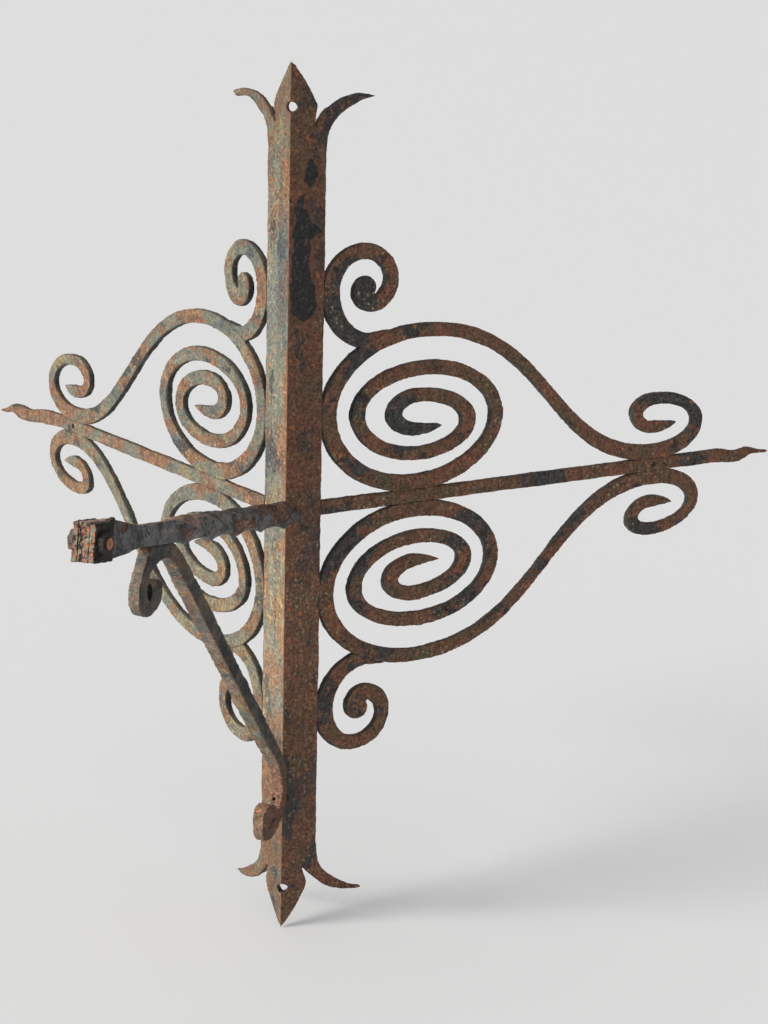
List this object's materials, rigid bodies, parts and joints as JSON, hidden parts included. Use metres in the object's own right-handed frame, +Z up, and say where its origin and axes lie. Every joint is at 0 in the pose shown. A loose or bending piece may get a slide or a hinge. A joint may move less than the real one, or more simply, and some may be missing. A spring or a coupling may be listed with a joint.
{
  "type": "corner wall bracket",
  "caption": "Forged outside-corner wall bracket: scrolled wings either side of an angle upright, a twisted arm on a brace and a bolted end hanger.",
  "frame": {"origin": "on the outer edge of the upright's ridge, half-way between the two corner screw holes", "axes": "+Z up along the upright, +Y into the corner of the wall along the line that halves the angle between the wings, +X to the right seen from the front"},
  "size_m": [0.8995, 0.8509, 0.865],
  "materials": {
    "painted_iron": "old paint worn to rust",
    "dark_iron": "dark paint with rust chips",
    "rusted_iron": "flaking layered rust"
  },
  "bodies": {
    "bracket": {"upright": "painted_iron", "right_wing_bar": "painted_iron", "left_wing_bar": "painted_iron", "right_upper_scroll": "painted_iron", "right_lower_scroll": "painted_iron", "left_upper_scroll": "painted_iron", "left_lower_scroll": "painted_iron", "right_upper_crook": "painted_iron", "right_lower_crook": "painted_iron", "left_upper_crook": "painted_iron", "left_lower_crook": "painted_iron", "arm": "dark_iron", "brace": "dark_iron"},
    "hanger": {"left_cheek": "rusted_iron", "right_cheek": "rusted_iron", "end_bolt": "rusted_iron", "end_nut": "rusted_iron"}
  },
  "joints": [
    {"name": "hanger_swing", "type": "hinge", "parent": "bracket", "child": "hanger", "pos_m": [-0.06823, -0.38693, 0.06325], "axis": [0.9848, -0.1736, 0], "range_deg": [-20, 20]}
  ]
}
